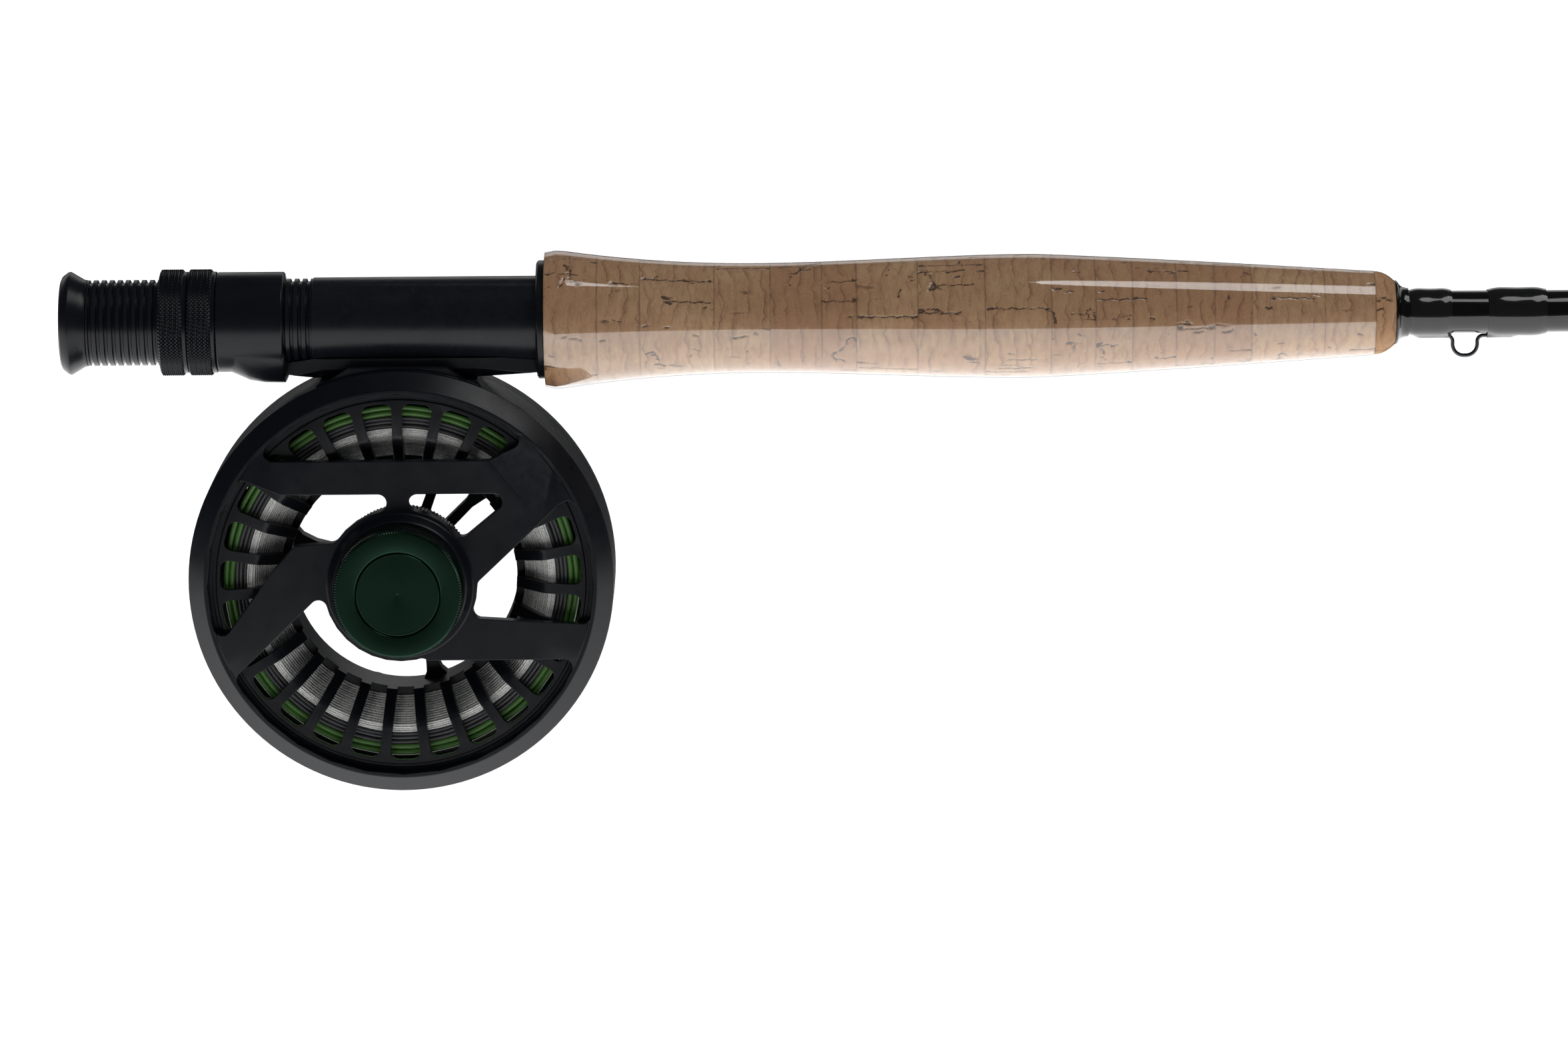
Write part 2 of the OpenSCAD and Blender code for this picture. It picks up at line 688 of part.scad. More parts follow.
module rib_slots(r_in, r_out, low, top, round_out) {
    for (i = [0:rib_n - 1])
        rotate(rib_phase + (i + 0.5) * 360 / rib_n) translate([0, 0, low])
            linear_extrude(top - low) rib_slot(r_in, r_out, round_out);
}

// one spoke of a V pair, flared where it meets the arbor
module spoke(angle) {
    rotate(angle) polygon([[7, -1.4], [10.5, -1.05], [18.5, -0.95], [21.5, -1.6], [23.5, -3],
        [23.5, 3], [21.5, 1.6], [18.5, 0.95], [10.5, 1.05], [7, 1.4]]);
}

module spool() {
    hub_out_r = 9.2;
    spoke_spread = 12.5;
    first_pair = 57.5;
    pad_r = 4.4;
    color([0.09, 0.09, 0.10]) at_reel() difference() {
        union() {
            difference() {
                // arbor, dished front flange, rear flange and palming rim
                rotate_extrude() polygon([[arbor_r, rear_flange_top - 1.8], [arbor_r, 5.2],
                    [28.2, flange_top - 0.5], [29.6, flange_top], [36.7, flange_top],
                    [36.8, flange_top - 0.3], [37.4, flange_top - 0.3], [37.5, flange_top],
                    [wall_in_r - 0.5, flange_top], [wall_in_r - 0.5, flange_top - 1.5],
                    [29.8, flange_top - 1.7], [arbor_out_r, 3.4], [arbor_out_r, rear_flange_top],
                    [wall_in_r - 0.4, rear_flange_top], [wall_in_r, cage_low - 0.4],
                    [rim_r - 0.35, cage_low - 0.4],
                    [rim_r - 0.05, cage_low - 0.7], [rim_r - 0.05, -9.7], [rim_r - 0.5, -10.9],
                    [rim_r - 1.4, rim_low + 0.2], [rim_r - 2.3, rim_low], [38.6, rim_low], [37.7, -11.4],
                    [37.2, rear_flange_top - 1.8]]);
                rib_slots(21.5, slot_out_r, slot_floor, flange_top + 1, 1.6);
                rib_slots(26.2, slot_out_r - 0.5, rim_low, rear_flange_top + 1, 1.6);
            }
            // pads for the handle and the counterweight
            for (a = [handle_angle, handle_angle + 180])
                at_polar(handle_at_r, a) disc(pad_r, rear_flange_top - 3, rear_flange_top - 0.15);
            // V spokes in three pairs
            translate([0, 0, rear_flange_top - 1.6]) linear_extrude(4.2)
                for (k = [0:2], s = [-1, 1])
                    spoke(first_pair + 120 * k + s * spoke_spread);
            disc(hub_out_r, -11.2, -0.7);
        }
        disc(5.5, -12, 0);
        disc(7.6, -4.9, 0);
        for (a = [handle_angle, handle_angle + 180])
            at_polar(handle_at_r, a) disc(1.5, rim_low, 0);
    }
}

module drag_rotor() {
    color([0.62, 0.63, 0.66]) at_reel() ring(shaft_r + fit, 5.2, -4.8, 9.6);
}

module one_way_clutch() {
    color([0.5, 0.51, 0.54]) at_reel() ring(5.25, 7.58, -4.8, -1);
}

module spool_bearings() {
    color([0.75, 0.76, 0.78]) at_reel() {
        ring(shaft_r + 0.03, 5.48, -10.9, -8.1);
        ring(shaft_r + 0.03, 5.48, -7.8, -5);
    }
}

module click_gear() {
    teeth = 36;
    color([0.72, 0.6, 0.3]) at_reel() difference() {
        translate([0, 0, -0.7]) linear_extrude(1.4)
            polygon([for (i = [0:2 * teeth - 1]) let (r = i % 2 == 0 ? 9.4 : 10.5)
                [r * cos(90 + 180 * i / teeth), r * sin(90 + 180 * i / teeth)]]);
        disc(7.7, -2, 2);
    }
}

// windings, each a plain revolved body between the flanges
module backing() {
    color([0.78, 0.78, 0.76]) at_reel() rotate_extrude()
        polygon([[arbor_out_r + gap, rear_flange_top + 0.1], [arbor_out_r + gap, 3.1], [29.6, 9.4],
            [backing_r, 9.5], [backing_r, rear_flange_top + 0.1]]);
}

module running_line() {
    color([0.28, 0.28, 0.30]) at_reel() ring(backing_r + 0.02, running_r, rear_flange_top + 0.1, 9.5);
}

module fly_line() {
    color([0.25, 0.45, 0.20]) at_reel() ring(running_r + 0.02, line_r, rear_flange_top + 0.1, 9.5);
}

module spool_cap() {
    color([0.07, 0.22, 0.14]) at_reel() difference() {
        rotate_extrude() polygon([[0, -11.2], [8.6, -11.2], [8.6, -12.6], [8.2, -13.2], [0, -13.6]]);
        translate([-5, -0.7, -15]) cube([10, 1.4, 1.9]);
    }
}

module counterweight() {
    color([0.6, 0.61, 0.63]) at_reel() at_polar(handle_at_r, handle_angle + 180) {
        rotate_extrude() polygon([[0, -10.05], [3.8, -10.05], [3.8, -12.2], [3.3, -12.8], [0, -12.8]]);
        disc(1.45, -10.05, -7.2);
    }
}

module handle_post() {
    color([0.66, 0.67, 0.69]) at_reel() at_polar(handle_at_r, handle_angle) difference() {
        union() {
            disc(1.45, -25.2, -7.2);
            disc(2.8, -10.7, -10.05);
            disc(2.6, -26.2, -25.2);
        }
        translate([-3, -0.35, -27]) cube([6, 0.7, 1.4]);
    }
}

// ---------- handle ----------

module handle_knob() {
    color([0.10, 0.10, 0.11]) at_reel() at_polar(handle_at_r, handle_angle) difference() {
        rotate_extrude() polygon([[0, -10.9], [4.4, -10.9], [4.7, -11.3], [4.5, -13], [4.1, -15.5],
            [4.3, -18.5], [5, -21.8], [5.3, -23.6], [5, -25.2], [4.1, -26.2], [0, -26.2]]);
        disc(1.95, -27, -10);
        disc(3, -27, -25);
    }
}

module handle_bush() {
    color([0.75, 0.72, 0.62]) at_reel() at_polar(handle_at_r, handle_angle) ring(1.5, 1.9, -24.9, -11);
}

// ---------- assembly ----------

butt_cap();
seat_barrel();
seat_arbors();
blank();
fixed_hood();
cork_rings();
grip_film();
winding_check();
butt_wrap();
keeper_wrap();
hook_keeper();
reel_frame();
reel_foot();
foot_screws();
spindle();
spindle_screws();
drag_housing();
housing_cover();
housing_seal();
friction_washers();
pressure_plate();
spring_washers();
detent_ball();
detent_spring();
click_pawl();
click_spring();
pawl_pin();
sliding_hood();
hood_liner();
lock_nut_front();
lock_nut_rear();
drag_knob();
knob_cap();
knob_stem();
spool();
drag_rotor();
drag_discs();
one_way_clutch();
spool_bearings();
click_gear();
backing();
running_line();
fly_line();
spool_cap();
counterweight();
handle_post();
handle_knob();
handle_bush();
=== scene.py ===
import math
import random

import bpy
import numpy as np
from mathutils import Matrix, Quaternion, Vector


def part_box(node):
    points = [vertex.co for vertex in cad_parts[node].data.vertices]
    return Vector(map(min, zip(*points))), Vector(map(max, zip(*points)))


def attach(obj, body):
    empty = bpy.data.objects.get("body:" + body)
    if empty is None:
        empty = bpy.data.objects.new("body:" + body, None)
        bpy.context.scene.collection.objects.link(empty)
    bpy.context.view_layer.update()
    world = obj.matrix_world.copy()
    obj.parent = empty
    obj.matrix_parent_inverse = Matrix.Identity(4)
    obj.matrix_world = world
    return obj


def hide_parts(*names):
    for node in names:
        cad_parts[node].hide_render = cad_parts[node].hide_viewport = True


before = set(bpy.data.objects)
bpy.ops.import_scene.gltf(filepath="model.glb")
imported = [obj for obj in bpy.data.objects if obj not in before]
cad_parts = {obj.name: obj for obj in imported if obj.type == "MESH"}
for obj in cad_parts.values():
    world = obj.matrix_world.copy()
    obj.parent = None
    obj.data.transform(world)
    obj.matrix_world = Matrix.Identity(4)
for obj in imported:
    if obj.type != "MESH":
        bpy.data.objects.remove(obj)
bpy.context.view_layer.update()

# ---------- sizes, in metres, read from the frame ----------

MM = 0.001
knob_low, knob_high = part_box("drag_knob")
REEL = Vector(((knob_low.x + knob_high.x) / 2, 0, (knob_low.z + knob_high.z) / 2))
KNOB_R = (knob_high.x - knob_low.x) / 2
cork_low, cork_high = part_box("cork_rings")
film_low, film_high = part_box("grip_film")
frame_low, frame_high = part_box("reel_frame")

# the cork rings' joints along the grip, in millimetres
CORK_JOINTS = [106.7, 115.2, 129.9, 141, 151.2, 158.1, 170.2, 183.5,
               196.6, 205.4, 212.7, 221.4, 229, 236.4, 250.9]

BACKGROUND = 1.0
FLOOR_Z = frame_low.z - 0.45


# ---------- mesh helpers ----------

def mesh_object(name, verts, faces, body, material, sharp=35):
    """A mesh from plain arrays that rides on a body, smooth apart from edges sharper than sharp degrees."""
    mesh = bpy.data.meshes.new(name)
    mesh.from_pydata(np.asarray(verts).tolist(), [], np.asarray(faces).tolist())
    mesh.polygons.foreach_set("use_smooth", [True] * len(mesh.polygons))
    mesh.set_sharp_from_angle(angle=math.radians(sharp))
    mesh.update()
    obj = bpy.data.objects.new(name, mesh)
    bpy.context.scene.collection.objects.link(obj)
    mesh.materials.append(material)
    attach(obj, body)
    return obj


def grid_faces(rows, columns, wrap_rows=False):
    """Quads over a grid of points whose columns close round; rows close too if wrap_rows."""
    last = rows if wrap_rows else rows - 1
    i, j = np.meshgrid(np.arange(last), np.arange(columns), indexing="ij")
    k, m = (i + 1) % rows, (j + 1) % columns
    return np.stack([i * columns + j, i * columns + m, k * columns + m, k * columns + j], -1).reshape(-1, 4)


def about_rod(r, x, angle):
    """Points at a radius, a station and an angle round the rod; angle 0 faces -Y and grows upwards."""
    return np.stack([x, -r * np.cos(angle), r * np.sin(angle)], -1)


def about_reel(r, height, angle):
    """Points at a radius, a height towards the drag side and an angle round the spindle."""
    return np.stack([REEL.x + r * np.cos(angle), -height, REEL.z + r * np.sin(angle)], -1)


def rounded(points, radius=0.15, steps=3):
    """A closed outline in millimetres with its corners rounded."""
    out = []
    count = len(points)
    for i in range(count):
        before, here, after = (np.array(points[(i + k) % count], float) for k in (-1, 0, 1))
        a, b = before - here, after - here
        la, lb = np.linalg.norm(a), np.linalg.norm(b)
        if here[0] < 0.01 or la < 1e-6 or lb < 1e-6:
            out.append(here)
            continue
        cut = min(radius, la * 0.4, lb * 0.4)
        p, q = here + a / la * cut, here + b / lb * cut
        for s in range(steps + 1):
            t = s / steps
            out.append((1 - t) ** 2 * p + 2 * t * (1 - t) * here + t * t * q)
    return np.array(out)


def turned(name, outline, place, body, material, segments=128, radius=0.15, shape=None):
    """A solid of revolution from a closed outline of [radius, height] in millimetres."""
    pts = rounded(outline, radius) * MM
    angle = np.linspace(0, 2 * math.pi, segments, endpoint=False)
    r = np.repeat(pts[:, 0:1], segments, 1)
    h = np.repeat(pts[:, 1:2], segments, 1)
    a = np.repeat(angle[None], len(pts), 0)
    if shape:
        r = shape(r, h, a)
    verts = place(r, h, a).reshape(-1, 3)
    return mesh_object(name, verts, grid_faces(len(pts), segments, True), body, material)


# ---------- material helpers ----------

class Finish:
    """A node material with one Principled shader, and short calls to add textures to it."""

    def __init__(self, name, **values):
        self.material = bpy.data.materials.new(name)
        self.material.use_nodes = True
        self.nodes = self.material.node_tree.nodes
        self.links = self.material.node_tree.links
        self.shader = self.nodes["Principled BSDF"]
        self.set(**values)

    def set(self, **values):
        for key, value in values.items():
            self.shader.inputs[key.replace("_", " ")].default_value = value

    def add(self, kind, **inputs):
        node = self.nodes.new(kind)
        for key, value in inputs.items():
            self.feed(node, key.replace("_", " "), value)
        return node

    def feed(self, node, key, value):
        socket = node.inputs[int(key) if key.isdigit() else key]
        if isinstance(value, bpy.types.NodeSocket):
            self.links.new(value, socket)
        else:
            socket.default_value = value

    def place(self, scale=(1, 1, 1), attribute=None):
        """Object coordinates, or a named attribute, stretched by scale."""
        if attribute:
            source = self.nodes.new("ShaderNodeAttribute")
            source.attribute_name = attribute
            vector = source.outputs["Vector"]
        else:
            vector = self.nodes.new("ShaderNodeTexCoord").outputs["Object"]
        return self.add("ShaderNodeMapping", Vector=vector, Scale=scale).outputs[0]

    def noise(self, size, detail=3.0, vector=None, distortion=0.0, rough=0.5):
        """Noise whose blobs are about size millimetres across."""
        node = self.add("ShaderNodeTexNoise", Scale=1 / (size * MM), Detail=detail, Roughness=rough,
                        Distortion=distortion, Vector=vector or self.place())
        return node.outputs["Fac"]

    def cells(self, size):
        """Distance from points scattered about size millimetres apart."""
        node = self.add("ShaderNodeTexVoronoi", Vector=self.place(), Scale=1 / (size * MM))
        return node.outputs["Distance"]

    def ramp(self, factor, *stops):
        """A colour ramp; each stop is (position, grey or colour)."""
        node = self.add("ShaderNodeValToRGB", Fac=factor)
        elements = node.color_ramp.elements
        while len(elements) < len(stops):
            elements.new(0.5)
        for element, (position, colour) in zip(elements, stops):
            element.position = position
            element.color = (*colour, 1) if isinstance(colour, tuple) else (colour, colour, colour, 1)
        return node.outputs["Color"]

    def mix(self, factor, a, b, blend="MIX"):
        node = self.nodes.new("ShaderNodeMix")
        node.data_type = "RGBA"
        node.blend_type = blend
        for index, value in ((0, factor), (6, a), (7, b)):
            if isinstance(value, bpy.types.NodeSocket):
                self.links.new(value, node.inputs[index])
            else:
                node.inputs[index].default_value = (*value, 1) if isinstance(value, tuple) else value
        return node.outputs[2]

    def maths(self, kind, a, b=0.0):
        node = self.nodes.new("ShaderNodeMath")
        node.operation = kind
        self.feed(node, "0", a)
        self.feed(node, "1", b)
        return node.outputs[0]

    def bump(self, height, depth, strength=1.0, below=None):
        """Relief of depth millimetres on top of the bump below."""
        node = self.add("ShaderNodeBump", Height=height, Strength=strength, Distance=depth * MM)
        if below:
            self.feed(node, "Normal", below)
        return node.outputs["Normal"]

    def link(self, **sockets):
        for key, socket in sockets.items():
            self.links.new(socket, self.shader.inputs[key.replace("_", " ")])
        return self.material


def satin_black(name, dark=(0.0026, 0.0032, 0.0052), light=(0.0042, 0.0050, 0.0074), rough=0.29, grain=0.12):
    """Bead-blasted and anodised aluminium, with dust, faint rubbing and paler rubbed edges."""
    f = Finish(name, Specular_IOR_Level=0.27)
    cloud = f.noise(14, 4)
    colour = f.mix(cloud, dark, light)
    edge = f.ramp(f.nodes.new("ShaderNodeNewGeometry").outputs["Pointiness"], (0.52, 0.0), (0.60, 0.55))
    worn = f.maths("MULTIPLY", edge, f.noise(1.6, 3))
    colour = f.mix(worn, colour, (0.05, 0.052, 0.056))
    dust = f.ramp(f.cells(3.1), (0.018, 0.5), (0.026, 0.0))
    dusty = f.maths("MULTIPLY", dust, f.ramp(f.noise(9, 2), (0.5, 0.0), (0.62, 1.0)))
    colour = f.mix(dusty, colour, (0.22, 0.22, 0.22))
    roughness = f.ramp(f.noise(5, 3), (0.3, rough - 0.035), (0.7, rough + 0.045))
    normal = f.bump(f.noise(grain, 2), 0.006, 0.55)
    return f.link(Base_Color=colour, Roughness=roughness, Normal=normal)


def gloss_black(name, thread=0.0):
    """Black lacquer; thread is the pitch in millimetres of the wrapping under it."""
    f = Finish(name, Specular_IOR_Level=0.1, Coat_Weight=1.0, Coat_Roughness=0.03, Coat_IOR=1.52)
    colour = f.mix(f.noise(3, 3), (0.0012, 0.0012, 0.0014), (0.0022, 0.0022, 0.0025))
    roughness = f.ramp(f.noise(2, 2), (0.35, 0.16), (0.65, 0.24))
    height = f.noise(0.9, 3, f.place((0.25, 1, 1)))
    normal = f.bump(height, 0.004, 0.4)
    if thread:
        wave = f.add("ShaderNodeTexWave", Scale=1 / (thread * MM) / 6.283, Distortion=0.4, Detail=1.0,
                     Vector=f.place())
        wave.bands_direction = "X"
        normal = f.bump(wave.outputs["Fac"], 0.012, 0.4, normal)
        colour = f.mix(wave.outputs["Fac"], colour, (0.012, 0.012, 0.013))
    return f.link(Base_Color=colour, Roughness=roughness, Normal=normal)


def green_anodised(name):
    """Turned aluminium anodised dark green: fine concentric tool marks round the spindle."""
    f = Finish(name, Metallic=0.9, Specular_IOR_Level=0.5, Anisotropic=0.3)
    offset = f.add("ShaderNodeMapping", Vector=f.nodes.new("ShaderNodeTexCoord").outputs["Object"],
                   Location=(-REEL.x, 0, -REEL.z), Scale=(1, 0, 1)).outputs[0]
    length = f.nodes.new("ShaderNodeVectorMath")
    length.operation = "LENGTH"
    f.links.new(offset, length.inputs[0])
    radius = length.outputs["Value"]
    ring = f.add("ShaderNodeCombineXYZ", X=radius).outputs[0]
    marks = f.noise(0.16, 2, ring)
    colour = f.mix(marks, (0.008, 0.026, 0.016), (0.012, 0.037, 0.023))
    roughness = f.ramp(marks, (0.2, 0.19), (0.8, 0.27))
    tangent = f.nodes.new("ShaderNodeTangent")
    tangent.direction_type = "RADIAL"
    tangent.axis = "Y"
    normal = f.bump(marks, 0.0035, 0.6)
    f.links.new(tangent.outputs[0], f.shader.inputs["Tangent"])
    return f.link(Base_Color=colour, Roughness=roughness, Normal=normal)


def metal(name, colour, rough):
    """Ground or turned metal with fine marks and a little tarnish."""
    f = Finish(name, Metallic=1.0)
    marks = f.noise(0.35, 3)
    stain = f.noise(4, 3)
    dull = tuple(c * 0.72 for c in colour)
    tint = f.mix(stain, dull, colour)
    roughness = f.ramp(marks, (0.3, rough - 0.06), (0.7, rough + 0.08))
    return f.link(Base_Color=tint, Roughness=roughness, Normal=f.bump(marks, 0.004, 0.6))


def moulded(name, dark, light, rough):
    """Moulded plastic or rubber with a fine cast texture."""
    f = Finish(name, Specular_IOR_Level=0.45)
    colour = f.mix(f.noise(3.5, 4), dark, light)
    roughness = f.ramp(f.noise(1.2, 3), (0.3, rough - 0.05), (0.7, rough + 0.06))
    return f.link(Base_Color=colour, Roughness=roughness, Normal=f.bump(f.noise(0.18, 2), 0.01, 0.7))


def cork(name, glossy):
    """Natural cork: mottled grain, wavy growth lines, dark pores and cracks; glossy under the film."""
    f = Finish(name, Specular_IOR_Level=0.25)
    if glossy:
        f.set(Coat_Weight=1.0, Coat_Roughness=0.02, Coat_IOR=1.6)
    grain = "cork_place"
    own = f.nodes.new("ShaderNodeAttribute")
    own.attribute_name = "cork_tint"
    base = f.mix(own.outputs["Fac"], (0.365, 0.202, 0.103), (0.475, 0.308, 0.168))
    blotch = f.noise(9, 4, f.place((0.7, 1, 1), grain), 0.6)
    base = f.mix(f.ramp(blotch, (0.38, 0.0), (0.66, 0.6)), base, (0.36, 0.185, 0.098))
    fibre = f.noise(1.1, 6, f.place((1, 0.3, 0.3), grain), 0.9, 0.7)
    base = f.mix(f.ramp(fibre, (0.36, 0.55), (0.56, 0.0)), base, (0.25, 0.130, 0.066))
    speck = f.noise(0.26, 3, f.place((1, 1, 1), grain))
    base = f.mix(f.ramp(speck, (0.54, 0.0), (0.74, 0.5)), base, (0.56, 0.38, 0.235))
    # growth lines: thin, faint, a few millimetres apart, wandering as they go round the ring
    wave = f.noise(8, 4, f.place((0.5, 1, 1), grain), 0.0, 0.6)
    wander = f.maths("MULTIPLY", f.maths("SUBTRACT", wave, 0.5), 7 * MM)
    along = f.nodes.new("ShaderNodeSeparateXYZ")
    f.links.new(f.place((1, 1, 1), grain), along.inputs[0])
    station = f.maths("DIVIDE", f.maths("ADD", along.outputs["X"], wander), 2.9 * MM)
    fall = f.maths("FRACT", station)
    line = f.ramp(fall, (0.0, 0.8), (0.08, 0.36), (0.35, 0.0), (0.96, 0.0), (1.0, 0.8))
    patchy = f.ramp(f.noise(5, 3, f.place((1, 1, 1), grain)), (0.40, 0.2), (0.60, 1.0))
    line = f.maths("MULTIPLY", line, patchy)
    base = f.mix(line, base, (0.155, 0.072, 0.038))
    # pores: the modelled pits, with ragged edges, and a scatter of fine ones
    pit = f.nodes.new("ShaderNodeAttribute")
    pit.attribute_name = "cork_pit"
    ragged = f.noise(0.42, 5, f.place((0.5, 1, 1), grain), 0.8, 0.65)
    deep = f.maths("ADD", pit.outputs["Fac"], f.maths("MULTIPLY", f.maths("SUBTRACT", ragged, 0.5), 2.4))
    deep = f.ramp(deep, (0.40, 0.0), (0.66, 1.0))
    fine = f.noise(1.5, 3, f.place((0.22, 1, 1), grain), 0.4)
    few = f.ramp(f.noise(7, 2, f.place((1, 1, 1), grain)), (0.50, 0.0), (0.60, 1.0))
    fine = f.maths("MULTIPLY", f.ramp(fine, (0.655, 0.0), (0.70, 1.0)), few)
    dark = f.maths("MAXIMUM", deep, fine)
    base = f.mix(f.maths("MULTIPLY", dark, 0.88), base, (0.040, 0.022, 0.015))
    # thin joints between the rings
    joint = f.nodes.new("ShaderNodeAttribute")
    joint.attribute_name = "cork_joint"
    seam = f.maths("MULTIPLY", joint.outputs["Fac"], f.ramp(f.noise(2.5, 3), (0.32, 0.30), (0.58, 0.85)))
    base = f.mix(seam, base, (0.10, 0.052, 0.031))
    roughness = f.ramp(speck, (0.3, 0.62), (0.7, 0.82))
    relief = f.maths("SUBTRACT", f.maths("MULTIPLY", speck, 0.3), dark)
    normal = f.bump(relief, 0.10, 0.8 if not glossy else 0.4)
    return f.link(Base_Color=base, Roughness=roughness, Normal=normal)


def clear_film(name):
    """Shrunk-on clear film: see-through face on, a mirror at a glancing angle."""
    f = Finish(name, Metallic=1.0, Roughness=0.03, Base_Color=(1, 1, 1, 1))
    fresnel = f.add("ShaderNodeFresnel", IOR=1.6)
    haze = f.ramp(f.noise(6, 3, f.place((0.3, 1, 1))), (0.45, 0.0), (0.75, 0.035))
    fine = f.noise(1.8, 3, f.place((0.5, 1, 1)))
    normal = f.bump(fine, 0.004, 0.35)
    f.links.new(normal, fresnel.inputs["Normal"])
    outside = f.maths("SUBTRACT", 1.0, f.nodes.new("ShaderNodeNewGeometry").outputs["Backfacing"])
    return f.link(Alpha=f.maths("MULTIPLY", f.maths("ADD", fresnel.outputs[0], haze), outside), Normal=normal)


def line_coating(name, dark, light, rough):
    """A coated fly line, its colour a little uneven from strand to strand."""
    f = Finish(name, Specular_IOR_Level=0.5)
    strand = f.nodes.new("ShaderNodeAttribute")
    strand.attribute_name = "strand"
    colour = f.mix(strand.outputs["Fac"], dark, light)
    colour = f.mix(f.ramp(f.noise(2.5, 3), (0.45, 0.0), (0.7, 0.35)), colour, dark)
    roughness = f.ramp(f.noise(0.8, 2), (0.3, rough - 0.05), (0.7, rough + 0.07))
    return f.link(Base_Color=colour, Roughness=roughness, Normal=f.bump(f.noise(0.4, 2), 0.006, 0.5))


def braid(name):
    """Braided polyester backing: pale, with its plait as relief, and painted shade, grey, in the low gaps of
    the plait.
    """
    f = Finish(name, Specular_IOR_Level=0.35, Sheen_Weight=0.25, Sheen_Roughness=0.4)
    strand = f.nodes.new("ShaderNodeAttribute")
    strand.attribute_name = "strand"
    colour = f.mix(strand.outputs["Fac"], (0.66, 0.66, 0.64), (0.93, 0.93, 0.90))
    plait = f.noise(0.3, 3)
    # painted shade: where the plait noise is low, in the gaps of the relief, the colour is greyed as shadow
    # would darken it
    colour = f.mix(f.ramp(plait, (0.36, 0.55), (0.50, 0.0)), colour, (0.30, 0.30, 0.29))
    return f.link(Base_Color=colour, Roughness=f.ramp(plait, (0.3, 0.55), (0.7, 0.75)),
                  Normal=f.bump(plait, 0.06, 0.8))


BLACK = satin_black("black_anodised")
SEAT_BLACK = satin_black("seat_anodised", rough=0.27, grain=0.09)
BLANK = gloss_black("carbon_blank")
WRAP = gloss_black("wrap_epoxy", thread=0.18)
GREEN = green_anodised("green_anodised")
STEEL = metal("steel", (0.60, 0.61, 0.63), 0.26)
DARK_STEEL = metal("dark_steel", (0.085, 0.087, 0.095), 0.32)
BRASS = metal("brass", (0.70, 0.52, 0.24), 0.3)
RUBBER = moulded("rubber", (0.009, 0.009, 0.0095), (0.016, 0.016, 0.017), 0.55)
FRICTION = moulded("friction", (0.03, 0.03, 0.034), (0.06, 0.06, 0.066), 0.6)
NYLON = moulded("dark_plastic", (0.02, 0.02, 0.021), (0.04, 0.04, 0.042), 0.5)
ACETAL = moulded("bush_plastic", (0.55, 0.50, 0.38), (0.68, 0.63, 0.50), 0.45)
CORK = cork("cork", True)
BARE_CORK = cork("bare_cork", False)
FILM = clear_film("clear_film")
GREEN_LINE = line_coating("green_line", (0.055, 0.150, 0.028), (0.105, 0.265, 0.050), 0.34)
GREY_LINE = line_coating("grey_line", (0.030, 0.031, 0.034), (0.070, 0.071, 0.076), 0.38)
BACKING = braid("backing")


# ---------- CAD nodes that stay ----------

def dress(node, material, bevel=0.10, weld=0.004):
    """Gives a CAD node its finish and eased edges; its mesh stays as it is under the modifiers."""
    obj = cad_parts[node]
    mesh = obj.data
    mesh.materials.clear()
    mesh.materials.append(material)
    if "custom_normal" in mesh.attributes:
        mesh.attributes.remove(mesh.attributes["custom_normal"])
    mesh.polygons.foreach_set("use_smooth", [True] * len(mesh.polygons))
    join = obj.modifiers.new("join", "WELD")
    join.merge_threshold = weld * MM
    if bevel:
        ease = obj.modifiers.new("ease", "BEVEL")
        ease.width = bevel * MM
        ease.segments = 2
        ease.limit_method = "ANGLE"
        ease.angle_limit = math.radians(28)
        ease.use_clamp_overlap = False
        ease.harden_normals = True
    even = obj.modifiers.new("even", "WEIGHTED_NORMAL")
    even.keep_sharp = True


for cad_node, (finish, edge_width) in {
    "butt_cap": (SEAT_BLACK, 0.15), "seat_barrel": (SEAT_BLACK, 0.05), "fixed_hood": (BLACK, 0.12),
    "seat_arbors": (ACETAL, 0), "blank": (BLANK, 0), "winding_check": (BLANK, 0.12),
    "hook_keeper": (DARK_STEEL, 0), "reel_frame": (BLACK, 0.14), "reel_foot": (BLACK, 0.15),
    "foot_screws": (DARK_STEEL, 0.05), "spindle": (STEEL, 0.08), "spindle_screws": (DARK_STEEL, 0.03),
    "drag_housing": (BLACK, 0.03), "housing_cover": (BLACK, 0.05), "housing_seal": (RUBBER, 0.05),
    "friction_washers": (FRICTION, 0.03), "pressure_plate": (STEEL, 0.03), "spring_washers": (STEEL, 0.03),
    "detent_ball": (STEEL, 0), "detent_spring": (STEEL, 0), "click_pawl": (BRASS, 0.03),
    "click_spring": (STEEL, 0), "pawl_pin": (STEEL, 0.03), "sliding_hood": (BLACK, 0.12),
    "hood_liner": (NYLON, 0.05), "knob_stem": (STEEL, 0.05), "spool": (BLACK, 0.09),
    "drag_rotor": (STEEL, 0.05), "drag_discs": (STEEL, 0.03), "one_way_clutch": (STEEL, 0.05),
    "spool_bearings": (STEEL, 0.05), "click_gear": (BRASS, 0.02), "spool_cap": (GREEN, 0.12),
    "counterweight": (STEEL, 0.1), "handle_post": (STEEL, 0.05), "handle_bush": (ACETAL, 0.05),
    "handle_knob": (BLACK, 0.12),
}.items():
    dress(cad_node, finish, edge_width)


# ---------- cork grip ----------

